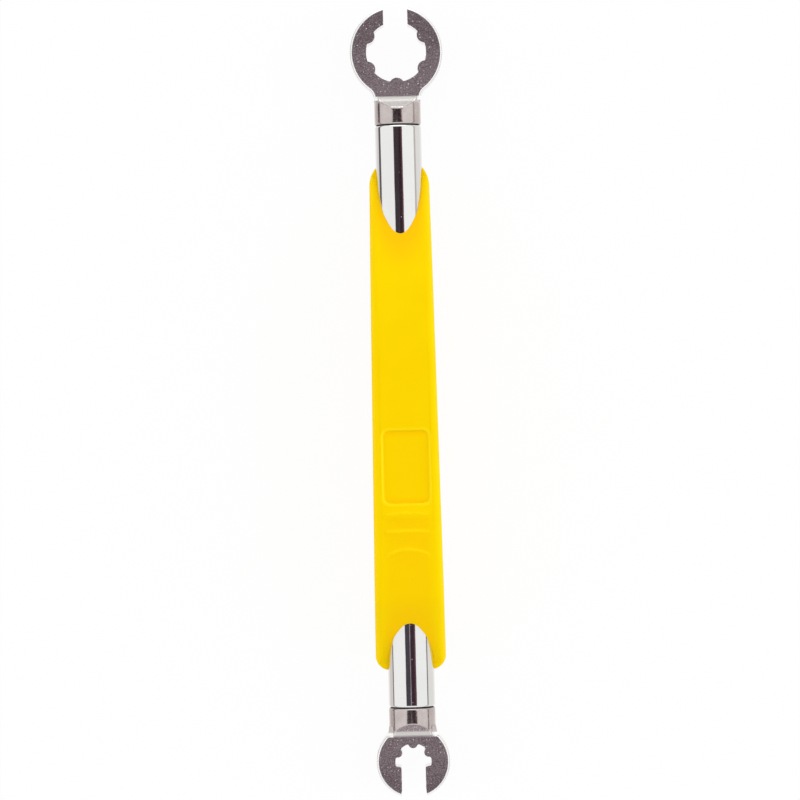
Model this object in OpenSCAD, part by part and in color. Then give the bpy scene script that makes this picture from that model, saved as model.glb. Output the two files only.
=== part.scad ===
// Double-ended spoke wrench: an open splined head at each end of a chromed tube,
// with a grip moulded on the tube. The tool lies on the back of its grip. Its
// long axis runs along Y, with the large head towards +Y.

/* [Tube] */
// Outer diameter of the tube and of the heads' necks
tube_d = 7; // [6.4:0.1:7.6]
// Wall of the tube, round the bore that takes the heads' spigots
tube_wall = 1; // [0.7:0.05:1.4]
// Length of the tube between the necks
tube_len = 88; // [80:1:120]
// Rounding of the edges where tube and neck meet
joint_round = 0.4; // [0.1:0.05:0.6]

/* [Heads] */
// Thickness of both head plates
plate_t = 4; // [3:0.1:5]
// Rounding of the plates' outer rims
rim_round = 0.4; // [0.1:0.05:0.7]
// Radius of the inner corners between a plate and its neck, seen from the front
web_fillet = 1.5; // [0.5:0.1:2]
// Straight stretch of the web below those corners
web_land = 0.5; // [0.1:0.1:1]
// How far the web stands out beyond the neck on each side
web_proud = 0.1; // [0.05:0.05:0.3]
// Length of the spigots in the tube
spigot_len = 14; // [8:0.5:18]
// Lead-in chamfer on the spigots
spigot_lead = 0.6; // [0.2:0.1:1]
// Gap all round between a spigot and the tube's bore
spigot_gap = 0.01; // [0.005:0.005:0.05]

/* [Large head] */
// Outer diameter of the large head
large_d = 14; // [13:0.1:16]
// Diameter across the roots of the large socket
large_root_d = 9; // [8.6:0.1:10]
// Diameter inside the lobes of the large socket
large_tip_d = 7.66; // [7:0.02:8]
// Radius of the large socket's lobes
large_lobe_r = 1.2; // [0.9:0.05:1.4]
// Radius of the corners at the feet of the large socket's lobes
large_foot_r = 0.15; // [0.1:0.05:0.3]
// Width of the large head's mouth
large_mouth = 3.6; // [3:0.1:4.6]
// Distance from the middle of the large socket to the end of the tube
large_reach = 11; // [10.5:0.1:14]
// Distance from the middle of the large socket to the foot of its ramp
large_ramp_at = 6.65; // [6:0.05:7]
// Slope of the large head's ramp
large_slope = 50; // [40:1:65]
// Hollow radius at the foot of the large head's ramp
large_ramp_r = 1.2; // [0.6:0.05:1.8]

/* [Small head] */
// Outer diameter of the small head
small_d = 11.1; // [10.5:0.1:13]
// Diameter across the roots of the small socket
small_root_d = 5.4; // [5:0.1:6]
// Diameter inside the lobes of the small socket
small_tip_d = 3.98; // [3.8:0.02:4.4]
// Radius of the small socket's lobes
small_lobe_r = 0.7; // [0.55:0.05:0.75]
// Radius of the corners at the feet of the small socket's lobes
small_foot_r = 0.25; // [0.1:0.05:0.3]
// Width of the small head's mouth
small_mouth = 3.6; // [3:0.1:4]
// Distance from the middle of the small socket to the end of the tube
small_reach = 8.2; // [7.8:0.1:11]
// Distance from the middle of the small socket to the foot of its ramp
small_ramp_at = 3.75; // [3.4:0.05:4.2]
// Slope of the small head's ramp
small_slope = 45; // [40:1:65]
// Hollow radius at the foot of the small head's ramp
small_ramp_r = 1.5; // [0.6:0.05:1.8]

/* [Grip] */
// Depth of the grip from front to back
grip_depth = 12.6; // [11:0.1:15]
// Width of the grip below its upper dome
grip_w_top = 9.1; // [8.6:0.1:11]
// Width of the grip at its lower end
grip_w_low = 10.7; // [9.8:0.1:12]
// Length of tube that shows above the grip
show_top = 6.4; // [3:0.1:12]
// Length of tube that shows below the grip
show_low = 5.6; // [3:0.1:12]
// Angle of the upper end's bevels to the axis
bevel_top = 21; // [17:0.5:28]
// Angle of the lower end's bevels to the axis
bevel_low = 28.5; // [22:0.5:34]
// Radius of the shoulders above the flat faces
shoulder_top = 20; // [5:1:40]
// Radius of the shoulders below the flat faces
shoulder_low = 10; // [4:1:25]
// Rounding of the grip's long edges
edge_round = 0.8; // [0.3:0.05:1.4]
// Rounding of the thin tips at both ends, and half their thickness
tip_round = 0.25; // [0.15:0.05:0.4]
// Length of the thin land between the upper tips and their bevels
land_top = 1.6; // [0.5:0.1:2.4]
// Length of the thin land between the lower tips and their bevels
land_low = 1; // [0.5:0.1:2]
// Height of the dome that rounds off the upper end
dome_h = 2.8; // [1.5:0.1:2.8]
// Radius of the lower end's corners
corner_r = 2.2; // [1:0.1:2.8]
// Gap all round between the grip and the tube
grip_gap = 0.01; // [0.005:0.005:0.05]

/* [Grip details] */
// Width of the sunk panel
panel_w = 7.2; // [4:0.1:7.6]
// Length of the sunk panel
panel_l = 11.2; // [6:0.1:16]
// Corner radius of the sunk panel
panel_r = 1; // [0.2:0.1:1.6]
// Depth of the sunk panel
panel_sink = 0.3; // [0.1:0.05:0.8]
// Distance from the grip's lower end to the middle of the panel
panel_at = 30.8; // [30:0.1:36]
// Number of raised thumb ribs
ribs = 3; // [1:1:3]
// Distance from the grip's lower end to the upper edge of the top rib
rib_at = 24.1; // [23:0.1:24.4]
// Distance from one rib to the next
rib_pitch = 2.77; // [2.4:0.05:3.2]
// Width of the ribs
rib_w = 6.7; // [3:0.1:7.4]
// Length of a rib in its middle
rib_l = 2; // [1:0.1:2.4]
// Height of a rib at its upper edge
rib_h = 0.2; // [0.2:0.05:0.5]
// Height of a rib at its blunt ends
rib_end = 0.14; // [0.05:0.01:0.18]
// How far the upper edge of the top rib is arched
rib_arch_top = 0.45; // [0.1:0.05:1]
// How far the upper edge of the middle rib is arched
rib_arch_mid = 0.2; // [0.1:0.05:1]
// How far the upper edge of the lowest rib is arched
rib_arch_low = 1; // [0.1:0.05:1]
// Diameter of the moulded plugs that key the grip to the tube
plug_d = 2.5; // [1.5:0.1:3]
// Distance from each end of the grip to its plug
plug_at = 24; // [22:0.5:28]
// Gap all round between a plug and its hole in the tube
plug_gap = 0.01; // [0.005:0.005:0.05]

/* [Hidden] */
$fn = 96;

steel_colour = [0.48, 0.44, 0.44];
chrome_colour = [0.88, 0.88, 0.87];
grip_colour = [0.98, 0.83, 0.02];

tube_r = tube_d / 2;
tube_bore = tube_d - 2 * tube_wall;
axis_h = grip_depth / 2;
grip_len = tube_len - show_top - show_low;

// Distance from a head's middle to the tips of its mouth
function tip_reach(d, mouth) = sqrt(pow(d / 2, 2) - pow(mouth / 2, 2));
reach_up = tube_len + large_reach + tip_reach(large_d, large_mouth);
reach_down = small_reach + tip_reach(small_d, small_mouth);
// The tube's lower end, so that the whole tool is centred on the origin
tube_start = (reach_down - reach_up) / 2;
grip_start = tube_start + show_low;

// Places for lobes round a socket: the first points to the handle, and the mouth takes one away
lobes = 6;
// Cuts run past the surfaces that they go through by this much
over = 1;
// A rounded corner reaches this far into what it joins, so that the two cross and don't just touch
bite = 0.02;

// Heads, drawn flat with the socket's middle at the origin and the mouth up

// Middle of the circle that fillets a disc of diameter d into the web
function web_centre(d) =
    let (x = tube_r + web_proud + web_fillet)
    [x, -sqrt(pow(d / 2 + web_fillet - bite, 2) - x * x)];

// A lobe that points up from the root circle, with its feet rounded into that circle
module lobe_outline(root_d, tip_d, lobe_r, foot_r) {
    far = tip_d / 2 + lobe_r;
    near = root_d / 2 - foot_r + bite;
    span = lobe_r + foot_r - bite;
    turn = acos((near * near + far * far - span * span) / (2 * near * far));
    translate([0, -far])
        circle(r = lobe_r);
    for (side = [-1, 1])
        let (way = [side * sin(turn), -cos(turn)])
        difference() {
            polygon([[0, -far], near * way, (root_d / 2 + foot_r) * way]);
            translate(near * way)
                circle(r = foot_r);
        }
}

// How far the socket reaches towards its mouth: where the mouth's walls run into the
// lobes beside them, it ends at the lobes' middles and leaves no notch
function socket_end(root_d, tip_d, lobe_r, mouth) =
    let (far = tip_d / 2 + lobe_r, aside = far * sin(360 / lobes) - mouth / 2)
    aside > lobe_r ? root_d / 2 : far * cos(360 / lobes);

module socket_outline(root_d, tip_d, lobe_r, foot_r, mouth) {
    difference() {
        intersection() {
            circle(d = root_d);
            translate([-root_d / 2, -root_d / 2])
                square([root_d, root_d / 2 + socket_end(root_d, tip_d, lobe_r, mouth)]);
        }
        for (i = [0:lobes - 1])
            rotate(i * 360 / lobes)
                lobe_outline(root_d, tip_d, lobe_r, foot_r);
    }
}

module mouth_outline(d, mouth) {
    translate([-mouth / 2, 0])
        square([mouth, d]);
}

// Half section of a disc of radius r with a rounded rim
module rounded_rim_section(r) {
    flat = plate_t / 2 - rim_round;
    translate([0, -plate_t / 2])
        square([r - rim_round, plate_t]);
    translate([0, -flat])
        square([r, 2 * flat]);
    for (side = [-1, 1])
        translate([r - rim_round, side * flat])
            circle(r = rim_round);
}

// Half section of the cutter that leaves a hollow corner with a rounded rim
module hollow_rim_section(r) {
    flat = plate_t / 2 - rim_round;
    difference() {
        translate([0, -plate_t / 2 - over])
            square([r + rim_round, plate_t + 2 * over]);
        translate([r, -flat])
            square([rim_round + over, 2 * flat]);
        for (side = [-1, 1])
            translate([r + rim_round, side * flat])
                circle(r = rim_round);
    }
}

// Web that runs from the disc down into the neck
module web(d) {
    centre = web_centre(d);
    side = centre.x - web_fillet;
    foot = centre.y - web_land;
    difference() {
        linear_extrude(plate_t, center = true)
            polygon([[0, 0], centre, [side, centre.y], [side, foot],
                [-side, foot], [-side, centre.y], [-centre.x, centre.y]]);
        for (half = [0, 1])
            mirror([half, 0, 0])
                translate([centre.x, centre.y, 0])
                    rotate_extrude()
                        hollow_rim_section(web_fillet);
    }
}

// Round neck with its shoulder, and the spigot that goes into the tube
module neck_section(ramp_at, reach) {
    spigot_r = tube_bore / 2 - spigot_gap;
    translate([0, -reach + joint_round])
        square([tube_r, reach - joint_round - ramp_at]);
    translate([0, -reach])
        square([tube_r - joint_round, joint_round]);
    translate([tube_r - joint_round, -reach + joint_round])
        circle(r = joint_round);
    polygon([[0, -reach], [spigot_r, -reach], [spigot_r, -reach - spigot_len + spigot_lead],
        [spigot_r - spigot_lead, -reach - spigot_len], [0, -reach - spigot_len]]);
}

// Cut that leaves a ramp from the plate's face up to the round of the neck, with a hollow foot
module ramp_cut(ramp_at, slope, ramp_r) {
    run = tube_d / tan(slope);
    edge = (bite - ramp_r) * [sin(slope), cos(slope)];
    translate([0, -ramp_at, plate_t / 2 + ramp_r])
        rotate([90, 0, 90])
            linear_extrude(tube_d + 2 * over, center = true) {
                circle(r = ramp_r);
                polygon([[0, 0], edge, edge + [-run, tube_d], [over, edge.y + tube_d], [over, 0]]);
            }
}

module head(d, root_d, tip_d, lobe_r, foot_r, mouth, reach, ramp_at, slope, ramp_r) {
    difference() {
        union() {
            rotate_extrude()
                rounded_rim_section(d / 2);
            web(d);
            difference() {
                rotate([-90, 0, 0])
                    rotate_extrude()
                        neck_section(ramp_at, reach);
                for (side = [0, 1])
                    mirror([0, 0, side])
                        ramp_cut(ramp_at, slope, ramp_r);
            }
        }
        linear_extrude(plate_t + 2 * over, center = true) {
            socket_outline(root_d, tip_d, lobe_r, foot_r, mouth);
            mouth_outline(d, mouth);
        }
    }
}

module large_head() {
    color(steel_colour)
        translate([0, tube_start + tube_len + large_reach, axis_h])
            head(large_d, large_root_d, large_tip_d, large_lobe_r, large_foot_r, large_mouth,
                large_reach, large_ramp_at, large_slope, large_ramp_r);
}

module small_head() {
    color(steel_colour)
        translate([0, tube_start - small_reach, axis_h])
            rotate([0, 0, 180])
                head(small_d, small_root_d, small_tip_d, small_lobe_r, small_foot_r, small_mouth,
                    small_reach, small_ramp_at, small_slope, small_ramp_r);
}

// Tube, with the cross holes that the grip's plugs fill

module tube_section() {
    translate([tube_bore / 2, 0])
        square([tube_wall - joint_round, tube_len]);
    translate([tube_bore / 2, joint_round])
        square([tube_wall, tube_len - 2 * joint_round]);
    for (end = [joint_round, tube_len - joint_round])
        translate([tube_r - joint_round, end])
            circle(r = joint_round);
}

module at_plugs() {
    for (along = [plug_at, grip_len - plug_at])
        translate([0, grip_start + along, axis_h])
            children();
}

module core_tube() {
    color(chrome_colour)
        difference() {
            translate([0, tube_start, axis_h])
                rotate([-90, 0, 0])
                    rotate_extrude()
                        tube_section();
            at_plugs()
                cylinder(d = plug_d, h = tube_d + 2 * over, center = true);
        }
}

// Grip: a loft of rounded rectangles, whose half depth and half width are given
// along s, which runs from the lower tips to the upper ones

corner_steps = 6;
dome_steps = 7;
shoulder_steps = 8;
tip_steps = 3;
edge_steps = 6;
// The end rings stand this far inside the tips, so that they keep some thickness
tip_inset = 0.02;
// Edges are rounded by at most this share of the half depth, where the grip is thin
thin_share = 0.9;

// Where the bevel would meet the flat face without a shoulder
function bevel_head(land, bevel) = land + (axis_h - tip_round) / tan(bevel);
// Where the shoulder starts and where it runs out into the flat face
function shoulder_span(land, bevel, radius) =
    let (reach = radius * tan(bevel / 2))
    [bevel_head(land, bevel) - reach * cos(bevel), bevel_head(land, bevel) + reach];

// Half depth of one end, at the distance d from its tips
function end_depth(d, land, bevel, radius) =
    let (span = shoulder_span(land, bevel, radius))
    d < tip_round ? sqrt(pow(tip_round, 2) - pow(tip_round - d, 2))
    : d < land ? tip_round
    : d < span[0] ? tip_round + (d - land) * tan(bevel)
    : d < span[1] ? axis_h - radius + sqrt(pow(radius, 2) - pow(span[1] - d, 2))
    : axis_h;
function half_depth(s) =
    min(end_depth(s, land_low, bevel_low, shoulder_low),
        end_depth(grip_len - s, land_top, bevel_top, shoulder_top));

function straight_width(s) =
    (grip_w_low + (grip_w_top - grip_w_low) * s / (grip_len - dome_h)) / 2;
function half_width(s) =
    s < corner_r ? straight_width(s) - corner_r + sqrt(pow(corner_r, 2) - pow(corner_r - s, 2))
    : s > grip_len - dome_h
        ? sqrt(pow(grip_w_top / 2, 2) - pow(s - grip_len + dome_h, 2))
    : straight_width(s);

// Distances of the rings from one end's tips
tip_rings =
    [for (i = [0:tip_steps]) tip_inset + (tip_round - tip_inset) * pow(i / tip_steps, 2)];
corner_rings =
    [for (i = [1:corner_steps]) corner_r * (1 - cos(90 * i / corner_steps))];
dome_turn = asin(2 * dome_h / grip_w_top);
dome_rings =
    [for (i = [1:dome_steps]) dome_h - sin(dome_turn * (1 - i / dome_steps)) * grip_w_top / 2];
// The rings of a rounded end that stand clear of its tips, with one more where the land ends
function land_rings(around, land) =
    concat([for (d = around) if (d > tip_round + tip_inset && d < land - tip_inset) d], [land],
        [for (d = around) if (d > land + tip_inset) d]);
function shoulder_rings(land, bevel, radius) =
    let (span = shoulder_span(land, bevel, radius))
    [for (i = [0:shoulder_steps])
        span[1] - radius * sin(bevel * (1 - i / shoulder_steps))];

rings_low = concat(tip_rings, land_rings(corner_rings, land_low),
    shoulder_rings(land_low, bevel_low, shoulder_low));
rings_top = concat(tip_rings, land_rings(dome_rings, land_top),
    shoulder_rings(land_top, bevel_top, shoulder_top));
rings = concat(rings_low,
    [for (i = [len(rings_top) - 1:-1:0]) grip_len - rings_top[i]]);

// One ring: a rectangle whose corners are rounded, thinner where the grip is
function ring(s) =
    let (w = half_width(s), h = half_depth(s), r = min(edge_round, thin_share * h))
    [for (corner = [0:3], i = [0:edge_steps])
        let (turn = 90 * (corner + i / edge_steps),
            side = corner == 0 || corner == 3 ? 1 : -1,
            level = corner < 2 ? 1 : -1)
        [side * (w - r) + r * cos(turn), s, level * (h - r) + r * sin(turn)]];

module grip_blank() {
    n = 4 * (edge_steps + 1);
    last = (len(rings) - 1) * n;
    polyhedron(
        points = [for (s = rings) each ring(s)],
        faces = concat(
            [[for (i = [n - 1:-1:0]) i]],
            [[for (i = [0:n - 1]) last + i]],
            [for (k = [0:len(rings) - 2], i = [0:n - 1])
                let (j = (i + 1) % n)
                each [[k * n + i, k * n + n + j, k * n + n + i],
                    [k * n + i, k * n + j, k * n + n + j]]]),
        convexity = 4);
}

module panel_cut() {
    translate([0, panel_at, axis_h - panel_sink])
        linear_extrude(panel_sink + over) {
            square([panel_w - 2 * panel_r, panel_l], center = true);
            square([panel_w, panel_l - 2 * panel_r], center = true);
            for (x = [-1, 1], y = [-1, 1])
                translate([x * (panel_w / 2 - panel_r), y * (panel_l / 2 - panel_r)])
                    circle(r = panel_r);
        }
}

// Raised rib: a barrel on its side, cut off along an arched line where it is highest, so that
// the rib falls away gently towards the lower end
module rib(arch) {
    drop = rib_h - rib_end;
    barrel_r = (pow(rib_l, 2) + pow(rib_h, 2)) / (2 * rib_h);
    stave_r = (pow(rib_w / 2, 2) + pow(drop, 2)) / (2 * drop);
    arch_r = (pow(rib_w / 2, 2) + pow(arch, 2)) / (2 * arch);
    intersection() {
        translate([0, 0, axis_h + rib_h - barrel_r])
            rotate([0, 90, 0])
                rotate_extrude()
                    intersection() {
                        translate([barrel_r - stave_r, 0])
                            circle(r = stave_r);
                        translate([0, -rib_w / 2])
                            square([barrel_r + over, rib_w]);
                    }
        translate([0, -arch_r, axis_h - rib_h])
            linear_extrude(rib_h + over)
                intersection() {
                    circle(r = arch_r);
                    translate([-rib_w, arch_r - 2 * rib_l])
                        square([2 * rib_w, 2 * rib_l + over]);
                }
    }
}

module plug() {
    intersection() {
        cylinder(d = plug_d - 2 * plug_gap, h = tube_d + 2 * over, center = true);
        rotate([90, 0, 0])
            difference() {
                cylinder(d = tube_d + over, h = plug_d, center = true);
                cylinder(d = tube_bore, h = plug_d + 2 * over, center = true);
            }
    }
}

module grip() {
    color(grip_colour) {
        translate([0, grip_start, axis_h])
            difference() {
                grip_blank();
                rotate([-90, 0, 0])
                    translate([0, 0, -over])
                        cylinder(r = tube_r + grip_gap, h = grip_len + 2 * over);
                panel_cut();
            }
        translate([0, grip_start, axis_h])
            for (i = [0:ribs - 1])
                translate([0, rib_at - i * rib_pitch, 0])
                    rib([rib_arch_top, rib_arch_mid, rib_arch_low][i]);
        at_plugs()
            plug();
    }
}

core_tube();
grip();
large_head();
small_head();
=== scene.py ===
"""Spoke wrench: the looks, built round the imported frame.

The tool lies along Y on the back of its grip, with the large head towards +Y. Pieces are modelled in
millimetres and brought to metres when they are finished.
"""

import math
from collections import namedtuple

import bpy
from mathutils import Matrix, Vector


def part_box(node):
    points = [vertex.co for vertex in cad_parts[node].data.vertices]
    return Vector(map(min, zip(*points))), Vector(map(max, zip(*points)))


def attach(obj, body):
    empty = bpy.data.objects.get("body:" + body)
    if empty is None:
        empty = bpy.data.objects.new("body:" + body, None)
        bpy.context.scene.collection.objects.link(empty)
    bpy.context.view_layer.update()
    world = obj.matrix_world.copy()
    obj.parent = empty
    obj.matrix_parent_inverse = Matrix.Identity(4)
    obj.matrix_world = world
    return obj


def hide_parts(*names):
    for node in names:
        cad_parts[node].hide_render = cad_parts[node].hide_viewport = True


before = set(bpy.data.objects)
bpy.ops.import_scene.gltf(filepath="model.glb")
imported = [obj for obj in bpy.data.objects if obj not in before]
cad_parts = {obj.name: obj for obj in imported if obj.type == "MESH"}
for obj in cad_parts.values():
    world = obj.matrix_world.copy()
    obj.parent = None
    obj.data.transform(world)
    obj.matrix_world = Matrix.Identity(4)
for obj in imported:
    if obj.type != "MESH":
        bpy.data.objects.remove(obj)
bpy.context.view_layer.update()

# Sizes in millimetres, from the frame where it gives them

MM = 0.001
Y, Z = 1, 2
ALONG_Y, ALONG_Z = (1, 0), (0, 1)


def span(node, axis):
    """Lowest and highest place of a CAD node along one axis."""
    return [corner[axis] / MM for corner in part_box(node)]


TUBE_LOW, TUBE_TOP = span("core_tube", Y)
AXIS_H = sum(span("core_tube", Z)) / 2
TUBE_R = 3.5
BORE_R = 2.5
JOINT_ROUND = 0.4

PLATE_T = 4.0
RIM_ROUND = 0.4
EDGE_BREAK = 0.06
# Edges of a plate that are sharper than this are broken
CRISP_OVER = math.radians(50)
WEB_FILLET = 1.5
WEB_LAND = 0.5
WEB_PROUD = 0.1
# The web's corners beside the neck slope off, from a little way outside the neck
CORNER_LAND = 0.06
CORNER_SLOPE = math.radians(32)
# A ramp's foot lies this far under the plate's face, so that the two cross
RAMP_SINK = 0.004
LOBE_PITCH = math.pi / 3
SPIGOT_LEN = 14.0
SPIGOT_LEAD = 0.6
FIT_GAP = 0.01

# Way is where a head points along Y, and reach is from its joint to the socket's middle. Lip and flare
# round and widen the mouth's two ends, and a dome of 1 grains the ramps as the faces are.
Head = namedtuple("Head", [
    "node", "joint", "way", "d", "mouth", "flare", "reach",
    "root_d", "tip_d", "lobe_r", "foot_r", "lip", "ramp_at", "slope", "ramp_r", "roll_r", "dome"])
LARGE = Head(
    node="large_head", joint=TUBE_TOP, way=1, d=14.0, mouth=3.6, flare=0.0, reach=11.0,
    root_d=9.0, tip_d=7.66, lobe_r=1.2, foot_r=0.15, lip=0.2,
    ramp_at=6.65, slope=math.radians(50), ramp_r=1.2, roll_r=0.8, dome=0.0)
SMALL = Head(
    node="small_head", joint=TUBE_LOW, way=-1, d=11.1, mouth=3.6, flare=0.15, reach=8.2,
    root_d=5.4, tip_d=3.98, lobe_r=0.7, foot_r=0.25, lip=0.0,
    ramp_at=3.75, slope=math.radians(45), ramp_r=1.5, roll_r=0.0, dome=1.0)

# Lengths of tube that show below and above the grip
SHOW_LOW, SHOW_TOP = 5.6, 6.4
GRIP_LOW = TUBE_LOW + SHOW_LOW
GRIP_TOP = TUBE_TOP - SHOW_TOP
GRIP_LEN = GRIP_TOP - GRIP_LOW
# The grip's front, which is as far from the axis as its back
FACE_Z = 2 * AXIS_H
GRIP_W_TOP = 9.1
GRIP_W_LOW = 10.7
EDGE_ROUND = 0.8
# The grip's long edges are rounded further in on its faces than on its sides
EDGE_SPREAD = 1.5
TIP_ROUND = 0.25
# The grip's end sections stand this far inside its tips
TIP_INSET = 0.02
DOME_H = 2.8
CORNER_R = 2.2
# Each end of the grip: a thin land at the tips, a bevel, and a shoulder that rounds it into the face
End = namedtuple("End", ["land", "bevel", "shoulder"])
LOW_END = End(land=0.9, bevel=math.radians(28.5), shoulder=10.0)
TOP_END = End(land=1.2, bevel=math.radians(21), shoulder=20.0)
# A shallow hollow in each bevel where it meets the tube, which runs out further in
HOLLOW_W, HOLLOW_L, HOLLOW_SINK = 3.4, 12.0, 0.16
HOLLOW_LEAN = math.radians(2.3)
PLUG_D = 2.5
PLUG_AT = 24.0

PANEL_W, PANEL_L, PANEL_R, PANEL_SINK = 7.2, 11.2, 1.0, 0.3
PANEL_LIP, PANEL_FOOT = 0.18, 0.08
# The panel's walls lean by this much over its depth
PANEL_DRAFT = 0.25
# The middle of the panel and the upper edge of the top rib
PANEL_Y = GRIP_LOW + 30.8
RIB_AT = GRIP_LOW + 24.1
RIB_PITCH = 2.77
# Where the ribs' upper edges are and how far they are arched, from the top rib down
RIBS = [(RIB_AT - i * RIB_PITCH, arch) for i, arch in enumerate([0.45, 0.2, 1.0])]
RIB_W, RIB_L, RIB_H, RIB_END = 6.7, 2.0, 0.2, 0.05
# How far a rib's upper edge leans back for each millimetre that it rises
RIB_DRAFT = 1.5

# Cuts run past the surfaces that they go through by this much
OVER = 1.0
# Points nearer than this are one point
TOUCH = 0.0005
# A point this near to an outline counts as on it
NEAR = 0.01
ARC_CHORD = 0.2
ARC_TURN = math.radians(9)
LATHE_STEPS = 144
# Steps round the edges and corners that are bevelled
RIM_STEPS, BREAK_STEPS = 6, 2
SECTION_STEPS, PANEL_STEPS, LIP_STEPS = 12, 10, 4
SMOOTH_UNDER = math.radians(32)


# Bench: drawing, cutting and finishing

def new_piece(name):
    """An empty mesh at the origin, open for modelling."""
    bpy.ops.object.select_all(action="DESELECT")
    bpy.ops.mesh.primitive_plane_add()
    piece = bpy.context.object
    piece.name = piece.data.name = name
    bpy.ops.object.mode_set(mode="EDIT")
    bpy.ops.mesh.select_mode(type="VERT")
    bpy.ops.mesh.delete(type="VERT")
    return piece


class Pencil:
    """Draws an outline in the XY plane: extrudes its last point along lines and spins it along arcs."""

    def __init__(self, name, x, y):
        self.piece = new_piece(name)
        self.at = Vector((x, y, 0))
        bpy.ops.mesh.primitive_plane_add(location=self.at)
        bpy.ops.mesh.merge(type="CENTER")

    def line(self, x, y):
        step = Vector((x, y, 0)) - self.at
        bpy.ops.mesh.extrude_vertices_move(TRANSFORM_OT_translate={"value": step})
        self.at += step

    def arc(self, x, y, turn):
        """Goes round a centre by an angle, positive if anticlockwise. Spin counts the other way."""
        centre = Vector((x, y, 0))
        arm = self.at - centre
        steps = max(math.ceil(abs(turn) * arm.length / ARC_CHORD), math.ceil(abs(turn) / ARC_TURN))
        bpy.ops.mesh.spin(steps=steps, angle=-turn, center=centre, axis=(0, 0, 1))
        self.at = centre + Matrix.Rotation(turn, 3, "Z") @ arm

    def slab(self, depth, below):
        """Closes the outline and pulls it to a slab, which starts this far below the drawing."""
        bpy.ops.mesh.select_all(action="SELECT")
        bpy.ops.mesh.remove_doubles(threshold=TOUCH)
        bpy.ops.mesh.edge_face_add()
        pull(depth)
        bpy.ops.mesh.select_all(action="SELECT")
        bpy.ops.transform.translate(value=(0, 0, -below))
        tidy_mesh()
        return self.piece

    def lathe(self):
        """Spins the outline round the Y axis into a closed solid."""
        bpy.ops.mesh.select_all(action="SELECT")
        bpy.ops.mesh.spin(steps=LATHE_STEPS, angle=math.tau, center=(0, 0, 0), axis=(0, 1, 0))
        tidy_mesh()
        bpy.ops.object.mode_set(mode="OBJECT")
        return self.piece


def tidy_mesh():
    """Merges doubled points and turns all faces outwards."""
    bpy.ops.mesh.select_all(action="SELECT")
    bpy.ops.mesh.remove_doubles(threshold=TOUCH)
    bpy.ops.mesh.normals_make_consistent(inside=False)


def pull(rise):
    """Extrudes what is selected along Z."""
    bpy.ops.mesh.extrude_region_move(TRANSFORM_OT_translate={"value": (0, 0, rise)})


def select_by(piece, kind, wanted):
    """Selects the edges or faces whose points, and the middle between them, satisfy wanted(point)."""
    bpy.ops.mesh.select_mode(type=kind)
    bpy.ops.mesh.select_all(action="DESELECT")
    bpy.ops.object.mode_set(mode="OBJECT")
    mesh = piece.data
    for part in mesh.edges if kind == "EDGE" else mesh.polygons:
        points = [mesh.vertices[i].co for i in part.vertices]
        middle = sum(points, Vector()) / len(points)
        part.select = all(wanted(point) for point in [middle, *points])
    bpy.ops.object.mode_set(mode="EDIT")


def pick(piece):
    """Selects one object alone and makes it the active one."""
    bpy.ops.object.select_all(action="DESELECT")
    piece.select_set(True)
    bpy.context.view_layer.objects.active = piece


def modify(piece, kind, **settings):
    """Adds a modifier to the active object, sets it and applies it."""
    bpy.ops.object.modifier_add(type=kind)
    step = piece.modifiers[-1]
    for name, value in settings.items():
        setattr(step, name, value)
    bpy.ops.object.modifier_apply(modifier=step.name)


def combine(piece, tool, how):
    """Cuts a tool out of a piece, or joins it on, and clears the tool away."""
    pick(piece)
    modify(piece, "BOOLEAN", operation=how, solver="EXACT", object=tool)
    bpy.data.objects.remove(tool)


def bar(radius, length, place, along):
    """A round bar, used as a cutter. It runs along a direction in the YZ plane."""
    y, z = along
    turn = (math.atan2(-y, z), 0, 0)
    bpy.ops.object.select_all(action="DESELECT")
    bpy.ops.mesh.primitive_cylinder_add(
        vertices=LATHE_STEPS, radius=radius, depth=length, location=place, rotation=turn)
    return bpy.context.object


def set_down(piece, place, turn=0):
    """Puts a piece that was modelled round the origin in its place on the tool."""
    pick(piece)
    piece.location = place
    piece.rotation_euler.z = turn
    bpy.ops.object.transform_apply()


def hand_over(piece, node, material):
    """Finishes a piece in metres and gives it to the frame in place of its CAD node."""
    pick(piece)
    piece.scale = (MM, MM, MM)
    bpy.ops.object.transform_apply()
    bpy.ops.object.shade_smooth_by_angle(angle=SMOOTH_UNDER)
    modify(piece, "WEIGHTED_NORMAL", keep_sharp=True)
    piece.data.materials.append(material)
    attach(piece, "root")
    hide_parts(node)


# Core tube

def plug_places():
    return [(0, GRIP_LOW + PLUG_AT, AXIS_H), (0, GRIP_TOP - PLUG_AT, AXIS_H)]


def model_tube():
    """A tube with rounded outer ends, and the two cross holes that the grip's plugs fill."""
    pen = Pencil("chrome_tube", BORE_R, TUBE_LOW)
    pen.line(TUBE_R - JOINT_ROUND, TUBE_LOW)
    pen.arc(TUBE_R - JOINT_ROUND, TUBE_LOW + JOINT_ROUND, math.pi / 2)
    pen.line(TUBE_R, TUBE_TOP - JOINT_ROUND)
    pen.arc(TUBE_R - JOINT_ROUND, TUBE_TOP - JOINT_ROUND, math.pi / 2)
    pen.line(BORE_R, TUBE_TOP)
    pen.line(BORE_R, TUBE_LOW)
    tube = pen.lathe()
    set_down(tube, (0, 0, AXIS_H))
    for place in plug_places():
        combine(tube, bar(PLUG_D / 2, 2 * TUBE_R + OVER, place, ALONG_Z), "DIFFERENCE")
    return tube


# Heads, modelled with the socket's middle at the origin and the mouth towards +Y

def polar(r, angle):
    return r * math.cos(angle), r * math.sin(angle)


def lens(r, far, lobe):
    """Half angles of two crossing circles, seen from the middle of the first and of the second one."""
    first = math.acos((r * r + far * far - lobe * lobe) / (2 * r * far))
    second = math.acos((lobe * lobe + far * far - r * r) / (2 * lobe * far))
    return first, second


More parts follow.
